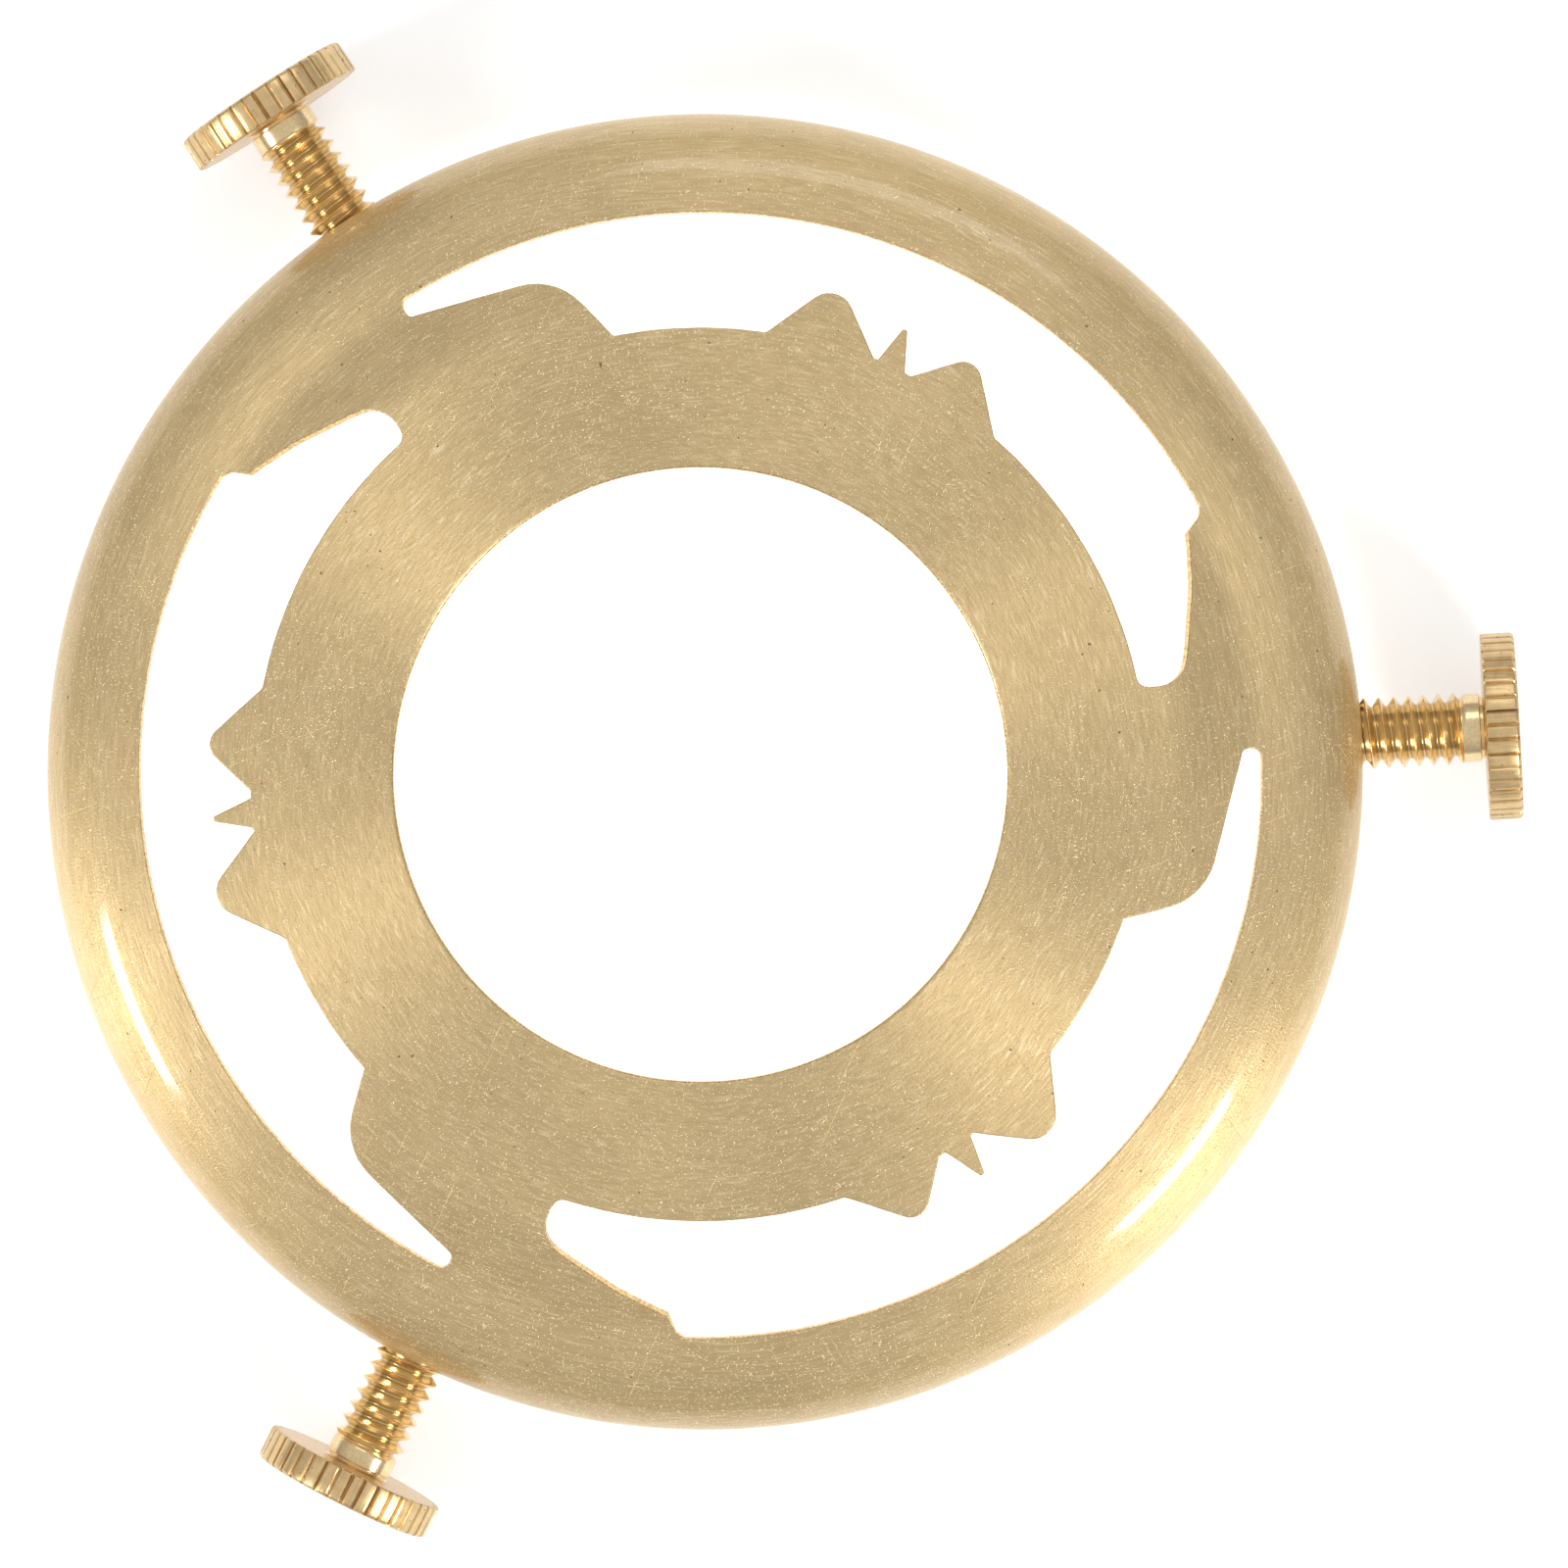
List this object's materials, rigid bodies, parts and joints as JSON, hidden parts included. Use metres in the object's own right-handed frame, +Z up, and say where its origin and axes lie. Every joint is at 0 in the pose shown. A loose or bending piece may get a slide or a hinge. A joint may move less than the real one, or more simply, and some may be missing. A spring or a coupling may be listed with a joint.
{
  "type": "lampshade gallery",
  "caption": "Round pressed brass lampshade gallery with a raised centre ring on sloping arms, a deep skirt and knurled thumbscrews.",
  "frame": {"origin": "on the axis of the lampholder hole, at the top face of the raised ring", "axes": "+Z up along the lamp's axis, away from the shade; +X out along the axis of thumbscrew 1"},
  "size_m": [0.0968, 0.0986, 0.0171],
  "materials": {
    "gallery_brass": "satin brushed brass, lacquered, lightly scratched",
    "screw_brass": "turned and knurled brass"
  },
  "bodies": {
    "gallery": {"gallery_body": "gallery_brass"},
    "screw_1_carrier": {"screw_point_1": "screw_brass"},
    "thumbscrew_1": {"thumbscrew_1": "screw_brass"},
    "screw_2_carrier": {"screw_point_2": "screw_brass"},
    "thumbscrew_2": {"thumbscrew_2": "screw_brass"},
    "screw_3_carrier": {"screw_point_3": "screw_brass"},
    "thumbscrew_3": {"thumbscrew_3": "screw_brass"}
  },
  "joints": [
    {"name": "screw_1_travel", "type": "slide", "parent": "gallery", "child": "screw_1_carrier", "axis": [-1, 0, 0], "range_m": [-0.00098, 0.00782]},
    {"name": "screw_1_turn", "type": "hinge", "parent": "screw_1_carrier", "child": "thumbscrew_1", "pos_m": [0.0475, 0, -0.0106], "axis": [-1, 0, 0], "range_deg": [-370, 2890]},
    {"name": "screw_2_travel", "type": "slide", "parent": "gallery", "child": "screw_2_carrier", "axis": [0.5, -0.866, 0], "range_m": [-0.00098, 0.00782]},
    {"name": "screw_2_turn", "type": "hinge", "parent": "screw_2_carrier", "child": "thumbscrew_2", "pos_m": [-0.02375, 0.04114, -0.0106], "axis": [0.5, -0.866, 0], "range_deg": [-370, 2890]},
    {"name": "screw_3_travel", "type": "slide", "parent": "gallery", "child": "screw_3_carrier", "axis": [0.5, 0.866, 0], "range_m": [-0.00098, 0.00782]},
    {"name": "screw_3_turn", "type": "hinge", "parent": "screw_3_carrier", "child": "thumbscrew_3", "pos_m": [-0.02375, -0.04114, -0.0106], "axis": [0.5, 0.866, 0], "range_deg": [-370, 2890]}
  ],
  "couplings": [
    {"joint": "screw_1_turn", "follows": "screw_1_travel", "rad_per_m": 6431.6},
    {"joint": "screw_2_turn", "follows": "screw_2_travel", "rad_per_m": 6431.6},
    {"joint": "screw_3_turn", "follows": "screw_3_travel", "rad_per_m": 6431.6}
  ]
}
